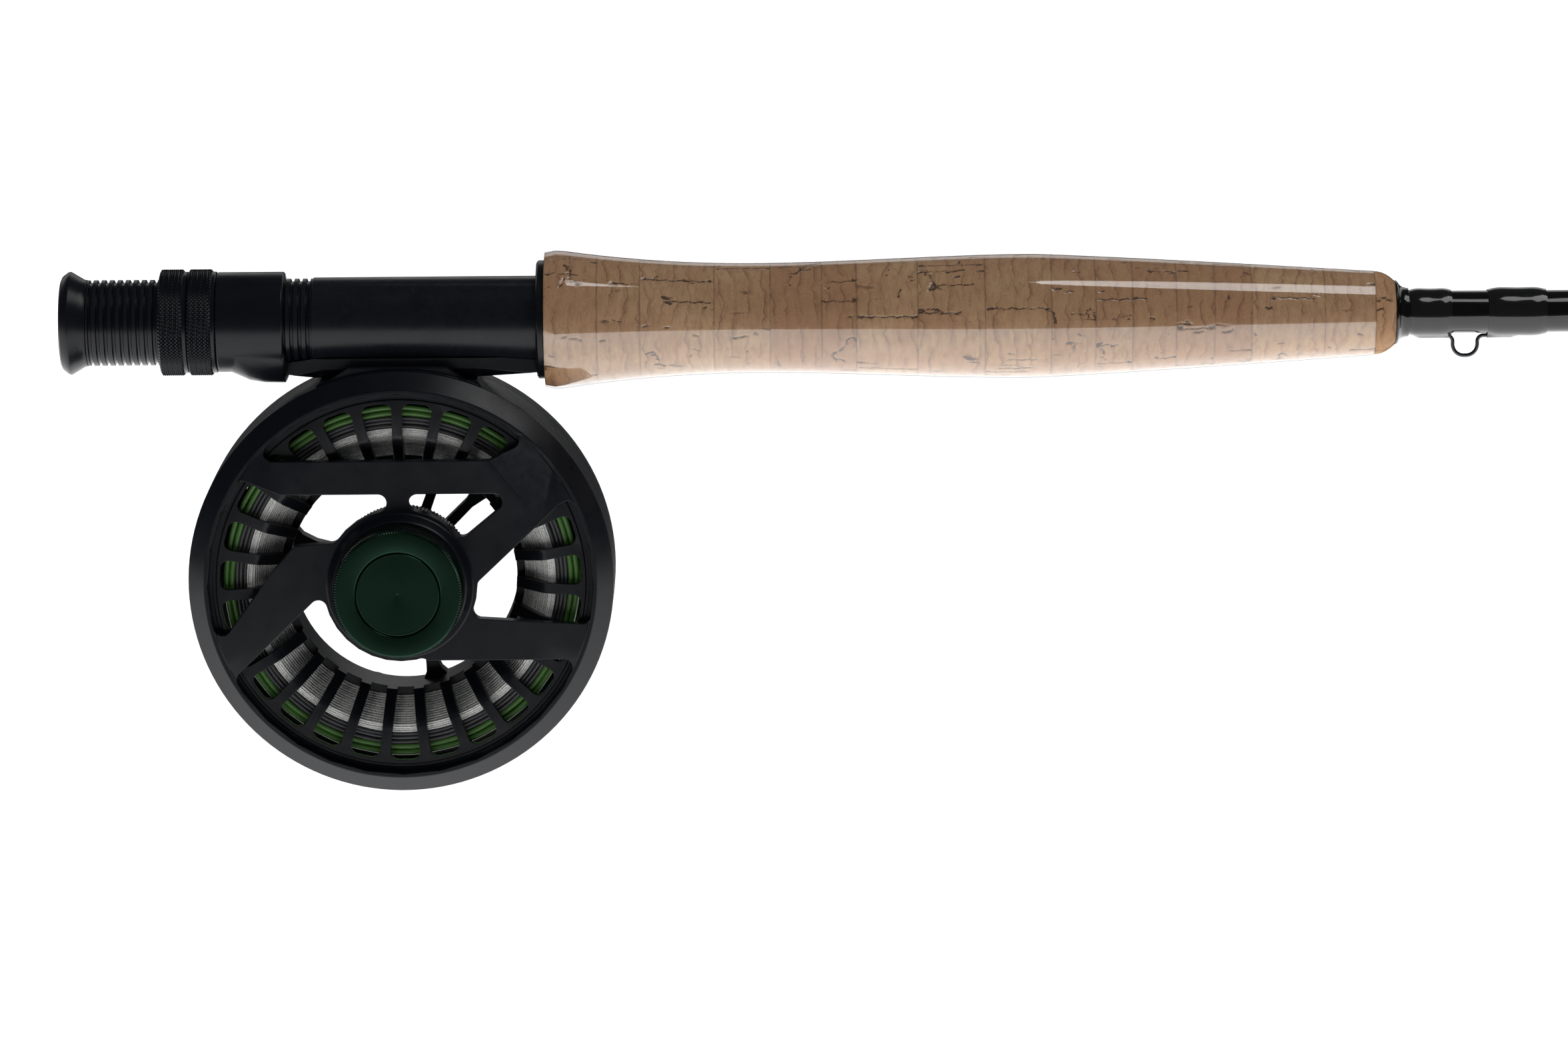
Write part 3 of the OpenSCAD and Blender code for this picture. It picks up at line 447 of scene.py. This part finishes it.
def outer_profile(node):
    """Stations along the rod and the outer radius at each, from a CAD node's own mesh."""
    co = np.array([v.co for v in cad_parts[node].data.vertices])
    radius = np.hypot(co[:, 1], co[:, 2])
    order = np.argsort(co[:, 0])
    points = []
    for x, r in zip(co[order, 0], radius[order]):
        if points and x - points[-1][0] < 0.05 * MM:
            points[-1][1] = max(points[-1][1], r)
        else:
            points.append([x, r])
    # stations that only the inner face or a slot reaches lie below their neighbours' line
    k = 1
    while k < len(points) - 1:
        (x0, r0), (x1, r1), (x2, r2) = points[k - 1:k + 2]
        if r1 < r0 + (r2 - r0) * (x1 - x0) / (x2 - x0) - 0.05 * MM:
            del points[k]
            k = max(k - 1, 1)
        else:
            k += 1
    x, r = np.array(points).T
    return x, r


def cork_pits(x, angle, r, marks):
    """How deep a pit each point of the grip lies in, from 0 to 1."""
    depth = np.zeros_like(x)
    for at_x, at_angle, length, width, turn in marks:
        across = (angle - at_angle + math.pi) % (2 * math.pi) - math.pi
        u = (x - at_x) / MM
        v = across * r / MM
        c, s = math.cos(turn), math.sin(turn)
        along, side = c * u + s * v, c * v - s * u
        side = side + 0.12 * np.sin(along * 2.3 + at_x * 900) + 0.06 * np.sin(along * 6.1 + at_x * 400)
        d = (np.maximum(np.abs(along) - length / 2, 0) / (0.6 * width)) ** 2 + (side / width) ** 2
        depth = np.maximum(depth, np.exp(-d))
    return depth


def cork_marks(rng, low, high):
    """Flaws of one ring as (x, angle, length, width, turn): cracks along it, pores and ragged squiggles."""
    marks = []
    span = (high - low) / MM
    for _ in range(rng.randint(4, 8)):
        length = span * rng.choice((0.95, 0.6, 0.45, 0.3))
        start = rng.choice((0.02 * span, 0.98 * span - length, rng.uniform(0, span - length)))
        x, angle = low + (start + length / 2) * MM, rng.uniform(-math.pi, math.pi)
        marks.append((x, angle, length, rng.uniform(0.10, 0.17), rng.gauss(0, 0.015)))
        for side in (-0.5, 0.5):
            if rng.random() < 0.55:
                marks.append((x + side * 0.92 * length * MM, angle + rng.gauss(0, 0.015),
                              rng.uniform(0.5, 1.6), rng.uniform(0.2, 0.36), rng.gauss(0, 0.2)))
    for _ in range(int(span * 1.5)):
        turn = rng.gauss(0, 0.15) if rng.random() < 0.75 else rng.gauss(math.pi / 2, 0.35)
        marks.append((rng.uniform(low, high), rng.uniform(-math.pi, math.pi), abs(rng.gauss(0, 1.2)) + 0.3,
                      rng.uniform(0.12, 0.26), turn))
    for _ in range(rng.choice((1, 1, 2, 3))):
        x, angle, turn = rng.uniform(low, high), rng.uniform(-math.pi, math.pi), rng.uniform(0, 3)
        for _ in range(rng.randint(6, 14)):
            marks.append((x, angle, 0.8, rng.uniform(0.14, 0.3), turn))
            x += 0.75 * MM * math.cos(turn)
            angle += 0.065 * math.sin(turn)
            turn += rng.gauss(0, 0.8)
    return marks


def build_cork():
    """One piece for each cork ring, its surface pitted; the last is bare of film."""
    xs, rs = outer_profile("cork_rings")
    film_end = film_high.x
    joints = [cork_low.x] + [j * MM for j in CORK_JOINTS] + [film_end, cork_high.x]
    rng = random.Random(7)
    around = 384
    bore = 6.2 * MM
    for k in range(len(joints) - 1):
        low, high = joints[k], joints[k + 1]
        rows = max(4, int((high - low) / (0.36 * MM)))
        t = np.concatenate([[0, 0.12 * MM / (high - low)], np.linspace(0, 1, rows)[1:-1],
                            [1 - 0.12 * MM / (high - low), 1]])
        rows = len(t)
        x = np.repeat((low + (high - low) * t)[:, None], around, 1)
        angle = np.repeat(np.linspace(-math.pi, math.pi, around, endpoint=False)[None], rows, 0)
        r = np.interp(x, xs, rs)
        marks = cork_marks(rng, low, high)
        pit = cork_pits(x, angle, r, marks)
        edge = np.minimum(x - low, high - x) / MM
        joint = np.clip(1 - edge / 0.16, 0, 1)
        r_out = r - pit * 0.16 * MM
        verts = about_rod(r_out, x, angle).reshape(-1, 3)
        inner = [about_rod(np.full(around, bore), np.full(around, end), angle[0]) for end in (high, low)]
        verts = np.concatenate([verts] + inner)
        name = f"cork_ring_{k + 1:02d}"
        bare = k == len(joints) - 2
        obj = mesh_object(name, verts, grid_faces(rows + 2, around, True), "rod", BARE_CORK if bare else CORK,
                          50)
        shift = rng.uniform(0, math.pi * 2)
        jump = rng.uniform(-0.4, 0.4)
        place = np.stack([verts[:, 0] + jump, verts[:, 1] * math.cos(shift) - verts[:, 2] * math.sin(shift),
                          verts[:, 1] * math.sin(shift) + verts[:, 2] * math.cos(shift)], -1)
        attribute = obj.data.attributes.new("cork_place", "FLOAT_VECTOR", "POINT")
        attribute.data.foreach_set("vector", place.astype(np.float32).ravel())
        pads = np.zeros(2 * around)
        for label, values in (("cork_pit", np.concatenate([pit.ravel(), pads])),
                              ("cork_joint", np.concatenate([joint.ravel(), pads])),
                              ("cork_tint", np.full(len(verts), rng.uniform(0, 1)))):
            attribute = obj.data.attributes.new(label, "FLOAT", "POINT")
            attribute.data.foreach_set("value", values.astype(np.float32))
        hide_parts("cork_rings")


def build_film():
    """The clear film over the grip: its rear end crinkled, and long faint wrinkles along it."""
    xs, rs = outer_profile("grip_film")
    around, rows = 192, 420
    rng = np.random.default_rng(3)
    x1 = np.linspace(film_low.x, film_high.x, rows)
    x = np.repeat(x1[:, None], around, 1)
    angle = np.repeat(np.linspace(-math.pi, math.pi, around, endpoint=False)[None], rows, 0)
    r = np.interp(x, xs, rs)
    ripple = sum(np.sin(angle * n + p + x * q) for n, p, q in
                 zip(rng.integers(9, 31, 6), rng.uniform(0, 6, 6), rng.uniform(-60, 60, 6)))
    near_end = np.exp(-(x - film_low.x) / (2.2 * MM))
    r = r + ripple * (0.05 * near_end + 0.0015) * MM
    lift = 0.12 * MM * near_end
    outer = about_rod(r + lift, x, angle).reshape(-1, 3)
    inner = about_rod(r + lift - 0.08 * MM, x, angle)[::-1].reshape(-1, 3)
    verts = np.concatenate([outer, inner])
    faces = grid_faces(rows * 2, around, True)
    obj = mesh_object("grip_film_clear", verts, faces, "rod", FILM, 60)
    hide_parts("grip_film")


# ---------- knurled pieces ----------

def diamond(u, v):
    """Height from 0 to 1 of a field of square pyramids, one a unit."""
    a = np.abs(((u + v) % 1) - 0.5) * 2
    b = np.abs(((u - v) % 1) - 0.5) * 2
    return 1 - np.maximum(a, b)


def knurled_nut(name, node, body):
    """A lock ring: a band of fine diamond knurling between chamfers, and a smooth collar in front."""
    low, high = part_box(node)
    r_out = (high.z - low.z) / 2
    depth, pitch = 0.3 * MM, 0.78 * MM
    bore, collar_r = 8.62 * MM, 10.08 * MM
    collar_x = high.x - 0.75 * MM
    count = round(2 * math.pi * r_out / pitch)
    around, rows = count * 6, 37
    band_low, band_high = low.x + 0.42 * MM, collar_x - 0.28 * MM
    rear = [(low.x, bore), (low.x, r_out - 0.95 * MM), (low.x + 0.12 * MM, r_out - 0.45 * MM)]
    band = [(x, r_out) for x in np.linspace(band_low, band_high, rows)]
    front = [(collar_x - 0.03 * MM, r_out - 0.4 * MM), (collar_x, collar_r + 0.02 * MM),
             (collar_x + 0.03 * MM, collar_r), (high.x - 0.1 * MM, collar_r),
             (high.x, collar_r - 0.1 * MM), (high.x, bore)]
    line = np.array(rear + band + front)
    x = np.repeat(line[:, 0:1], around, 1)
    r = np.repeat(line[:, 1:2], around, 1)
    angle = np.repeat(np.linspace(0, 2 * math.pi, around, endpoint=False)[None], len(line), 0)
    relief = np.minimum(diamond(angle * count / (2 * math.pi), (x - low.x) / pitch) / 0.86, 1)
    in_band = np.zeros(len(line))
    in_band[len(rear):len(rear) + rows] = 1
    r = r - in_band[:, None] * (1 - relief) * depth
    obj = mesh_object(name, about_rod(r, x, angle).reshape(-1, 3), grid_faces(len(line), around, True), body,
                      SEAT_BLACK, 25)
    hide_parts(node)


def build_drag_knob():
    """The drag knob: skirt with fine straight knurling, eased rim, and a disc let into its face."""
    low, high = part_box("drag_knob")
    top = -low.y / MM
    bottom = -high.y / MM
    r = KNOB_R / MM
    teeth = 150
    segments = teeth * 4

    def knurl(radius, height, angle):
        on_side = (radius > (r - 0.5) * MM) & (height > (bottom + 0.5) * MM)
        wave = np.abs(((angle * teeth / (2 * math.pi)) % 1) - 0.5) * 2
        return radius - on_side * wave * 0.22 * MM

    outline = [[0, bottom + 0.4], [r - 0.9, bottom], [r - 0.4, bottom], [r, bottom + 0.45],
               [r, bottom + 0.6], [r, top - 0.5], [r - 0.42, top - 0.06], [r - 0.62, top],
               [8.62, top], [8.42, top - 0.16], [8.4, top - 0.85], [0, top - 0.85]]
    knob = turned("drag_knob_turned", outline, about_reel, "knob", GREEN, segments,
                  0.07, knurl)
    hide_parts("drag_knob")
    cap = [[0, top - 0.84], [8.28, top - 0.84], [8.3, top - 0.2], [8.1, top - 0.01], [7.9, top - 0.02],
           [0.25, top + 0.03], [0, top - 0.02]]
    face = turned("knob_cap_turned", cap, about_reel, "knob", GREEN, 192, 0.05)
    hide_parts("knob_cap")


# ---------- windings ----------

def strands(name, rings, sides, segments, twist, body, material, node, seed):
    """Wound line: a torus for each turn, (radius, height, radius of the line), plaited if twist isn't 0."""
    rng = np.random.default_rng(seed)
    angle = np.linspace(0, 2 * math.pi, segments, endpoint=False)
    around = np.linspace(0, 2 * math.pi, sides, endpoint=False)
    faces = grid_faces(segments, sides, True)
    verts, polys, tints = [], [], []
    for count, (radius, height, wire) in enumerate(rings):
        phase = rng.uniform(0, 6, 3)
        wobble = sum(np.sin(angle * n + p) for n, p in zip((3, 7, 16), phase)) * wire * 0.07
        a = angle[:, None]
        thick = wire * (1 + twist * np.sin(around[None] * 2 + a * radius / wire * 1.1 + phase[0]))
        r = radius + wobble[:, None] + thick * np.cos(around)[None]
        h = height + wobble[:, None] * 0.7 + thick * np.sin(around)[None]
        verts.append(about_reel(r, h, np.broadcast_to(a, r.shape)).reshape(-1, 3))
        polys.append(faces + count * segments * sides)
        tints.append(np.full(segments * sides, rng.uniform(0, 1)))
    obj = mesh_object(name, np.concatenate(verts), np.concatenate(polys), body, material, 180)
    attribute = obj.data.attributes.new("strand", "FLOAT", "POINT")
    attribute.data.foreach_set("value", np.concatenate(tints).astype(np.float32))
    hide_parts(node)


def build_windings():
    """Fly line outside, grey line under it, braided backing down to the arbor. Turns that show are made."""
    f_low, f_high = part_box("fly_line")
    g_low, g_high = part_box("running_line")
    b_low, b_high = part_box("backing")
    rear, front = -f_high.y, -f_low.y
    r_fly, r_grey, r_back = ((b.x - a.x) / 2 for a, b in ((f_low, f_high), (g_low, g_high), (b_low, b_high)))
    arbor = 24.4 * MM
    wire = (r_fly - r_grey) / 4
    across = int((front - rear) / (2 * wire))
    step = (front - rear - 2 * wire) / (across - 1)
    rings = [(r_grey + wire * (1 + 2 * layer), rear + wire + i * step, wire)
             for layer in (0, 1) for i in range(across)]
    strands("fly_line_turns", rings, 10, 200, 0, "spool", GREEN_LINE, "fly_line", 1)
    wire = (r_grey - r_back) / 6
    rings = []
    for layer in range(3):
        for i in range(3):
            shift = wire * (layer % 2) * 0.6
            rings += [(r_back + wire * (1 + 2 * layer), front - wire * (1 + 2 * i) - shift, wire),
                      (r_back + wire * (1 + 2 * layer), rear + wire * (1 + 2 * i) + shift, wire)]
    strands("grey_line_turns", rings, 8, 180, 0, "spool", GREY_LINE, "running_line", 2)
    wire = 0.21 * MM
    slope_low, slope_high, slope_r = 3.0 * MM, 9.25 * MM, 29.5 * MM
    rings = []
    layers = int((r_back - arbor) / (1.8 * wire))
    for layer in range(layers):
        radius = arbor + wire + layer * (r_back - arbor - 2 * wire) / (layers - 1)
        share = min(1, (radius - arbor) / (slope_r - arbor))
        edge = slope_low + (slope_high - slope_low) * share - wire
        for i in range(3):
            rings.append((radius, edge - i * 1.9 * wire, wire))
            rings.append((radius, rear + wire * (1 + 1.9 * i) + 0.15 * MM, wire))
    strands("backing_turns", rings, 6, 420, 0.16, "spool", BACKING, "backing", 3)
    core = [[arbor / MM, rear / MM + 1.2], [arbor / MM, 1.6], [29.3, 7.8], [r_back / MM - 0.4, 8.2],
            [r_grey / MM - 0.6, 8.4], [r_grey / MM - 0.6, rear / MM + 1.4]]
    turned("winding_core", core, about_reel, "spool", BACKING, 128, 0.1)


# ---------- wraps ----------

def build_wrap(name, node):
    """A thread wrap: rows of thread that show faintly under a smooth barrel of clear varnish."""
    low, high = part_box(node)
    keeper_low, keeper_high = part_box("hook_keeper")
    xs, rs = outer_profile(node)
    around, rows = 144, 150
    t = np.linspace(0, 1, rows)
    x = np.repeat((low.x + (high.x - low.x) * t)[:, None], around, 1)
    angle = np.repeat(np.linspace(-math.pi, math.pi, around, endpoint=False)[None], rows, 0)
    kernel = np.hanning(29)
    smooth = np.convolve(np.pad(np.interp(x[:, 0], xs, rs), 14, mode="edge"), kernel / kernel.sum(), "valid")
    sag = 0.05 * np.sin(t * 8 + 0.6)[:, None] + 0.03 * np.sin(angle + t[:, None] * 5)
    r = smooth[:, None] - (0.08 - sag) * MM * np.sin(math.pi * t)[:, None]
    # the wrap bulges over the foot of the keeper
    over = np.exp(-(((angle + math.pi / 2) / 0.24) ** 2))
    fade, cover_r = 1.5 * MM, 5.24 * MM
    for past_end in (x - keeper_low.x, keeper_high.x - x):
        over *= np.clip(past_end / fade + 1, 0, 1)
    r = np.maximum(r, r + (cover_r - r) * over)
    body = about_rod(r, x, angle).reshape(-1, 3)
    ends = [about_rod(np.full(around, 4.0 * MM), np.full(around, end), angle[0]) for end in (high.x, low.x)]
    obj = mesh_object(name, np.concatenate([body] + ends), grid_faces(rows + 2, around, True), "rod", WRAP,
                      60)
    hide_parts(node)


build_cork()
build_film()
knurled_nut("lock_nut_front_knurled", "lock_nut_front", "front_nut")
knurled_nut("lock_nut_rear_knurled", "lock_nut_rear", "rear_nut")
build_drag_knob()
build_windings()
build_wrap("butt_wrap_thread", "butt_wrap")
build_wrap("keeper_wrap_thread", "keeper_wrap")


# ---------- floor, light and camera ----------

def area_light(name, place, target, size, strength, size_y=None):
    data = bpy.data.lights.new(name, "AREA")
    data.shape = "RECTANGLE"
    data.size = size
    data.size_y = size_y or size
    data.energy = strength * size * data.size_y
    light = bpy.data.objects.new(name, data)
    light.location = place
    light.rotation_mode = "QUATERNION"
    light.rotation_quaternion = (Vector(target) - Vector(place)).to_track_quat("-Z", "Y")
    bpy.context.scene.collection.objects.link(light)
    light.visible_camera = False
    return light


def studio():
    """A wide pale floor, a sheet of light under the object, soft boxes above it and a panel behind."""
    mesh = bpy.data.meshes.new("floor")
    count, reach = 64, 14.0
    ring = [(reach * math.cos(2 * math.pi * i / count), reach * math.sin(2 * math.pi * i / count), FLOOR_Z)
            for i in range(count)]
    mesh.from_pydata(ring, [], [list(range(count))])
    floor = bpy.data.objects.new("floor", mesh)
    bpy.context.scene.collection.objects.link(floor)
    pale = Finish("pale_floor", Base_Color=(0.85, 0.85, 0.85, 1), Roughness=0.9, Specular_IOR_Level=0.1,
                  Emission_Color=(1, 1, 1, 1))
    rays = pale.nodes.new("ShaderNodeLightPath")
    pale.link(Emission_Strength=pale.maths("MULTIPLY", rays.outputs["Is Camera Ray"], 1.2))
    mesh.materials.append(pale.material)

    world = bpy.data.worlds.new("studio")
    bpy.context.scene.world = world
    world.use_nodes = True
    nodes, links = world.node_tree.nodes, world.node_tree.links
    seen, lit = nodes["Background"], nodes.new("ShaderNodeBackground")
    seen.inputs["Color"].default_value = (1, 1, 1, 1)
    seen.inputs["Strength"].default_value = BACKGROUND
    lit.inputs["Color"].default_value = (0.93, 0.96, 1, 1)
    lit.inputs["Strength"].default_value = 0.05
    rays, both = nodes.new("ShaderNodeLightPath"), nodes.new("ShaderNodeMixShader")
    links.new(rays.outputs["Is Camera Ray"], both.inputs[0])
    links.new(lit.outputs[0], both.inputs[1])
    links.new(seen.outputs[0], both.inputs[2])
    links.new(both.outputs[0], nodes["World Output"].inputs["Surface"])

    sheet_z = FLOOR_Z + 0.003
    near_edge, far_edge = -1.8, 2.4
    middle = (0.3, (near_edge + far_edge) / 2, sheet_z)
    area_light("light_sheet", middle, (middle[0], middle[1], 1), 8.0, 4.5, far_edge - near_edge)
    area_light("overhead", (0.66, -0.2, 0.95), (0.45, 0, 0), 0.75, 9.0, 0.46)
    for name, place, strength in (("front_fill", (-0.9, -1.5, 1.3), 6.0), ("top_fill", (0.1, 0.1, 1.5), 8.0)):
        fill = area_light(name, place, (0.15, 0, 0), 1.0, strength)
        fill.visible_glossy = False
    backdrop = area_light("backdrop", (0.2, 2.3, 0.98), (0.2, 0, 0.98), 6.0, 1.9, 1.0)
    backdrop.visible_diffuse = False


def camera():
    """Long lens, level with the rod and a little above it."""
    elevation, distance, roll = math.radians(9.7), 1.45, math.radians(0.47)
    aim = Vector((0.1434, 0, -0.0414))
    forward = Vector((0, math.cos(elevation), -math.sin(elevation)))
    data = bpy.data.cameras.new("camera")
    data.sensor_width = 36
    data.lens = 166.4
    data.clip_start, data.clip_end = 0.05, 60
    view = bpy.data.objects.new("camera", data)
    view.rotation_mode = "QUATERNION"
    view.rotation_quaternion = forward.to_track_quat("-Z", "Y") @ Quaternion((0, 0, 1), -roll)
    view.location = aim - forward * distance
    bpy.context.scene.collection.objects.link(view)
    bpy.context.scene.camera = view


studio()
camera()
bpy.context.scene.view_settings.view_transform = "Standard"

bpy.context.view_layer.update()
